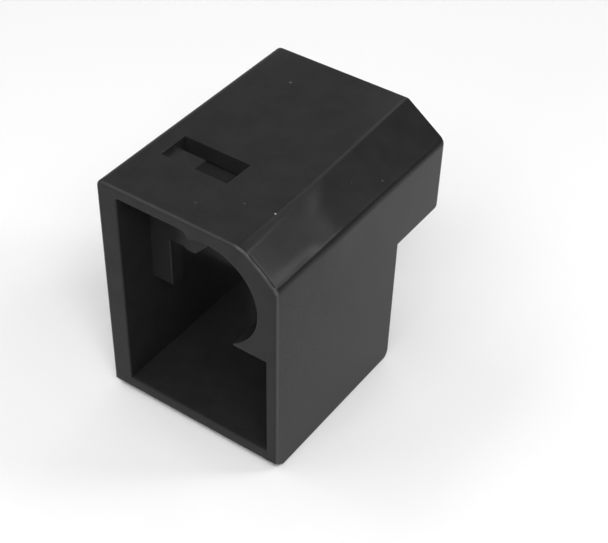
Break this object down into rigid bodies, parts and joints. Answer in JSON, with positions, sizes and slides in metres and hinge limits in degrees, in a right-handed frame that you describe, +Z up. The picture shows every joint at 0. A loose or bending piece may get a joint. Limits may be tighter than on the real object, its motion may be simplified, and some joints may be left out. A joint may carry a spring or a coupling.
{
  "type": "ethernet plug lock",
  "caption": "Moulded sleeve that slides over a modular ethernet plug; a keyhole front and an inner stop trap the plug's latch, and a roof slot lets a key free it.",
  "frame": {"origin": "middle of the outline seen from above, on the surface that the flat underside stands on", "axes": "+Z up, +X to the side with the sloped corner, -Y towards the plug's contact end, +Y towards its cable"},
  "size_m": [0.0144, 0.0198, 0.0184],
  "materials": {
    "housing_plastic": "satin anthracite moulded plastic with a very fine grain"
  },
  "bodies": {
    "root": {"lock_housing": "housing_plastic"}
  },
  "joints": []
}
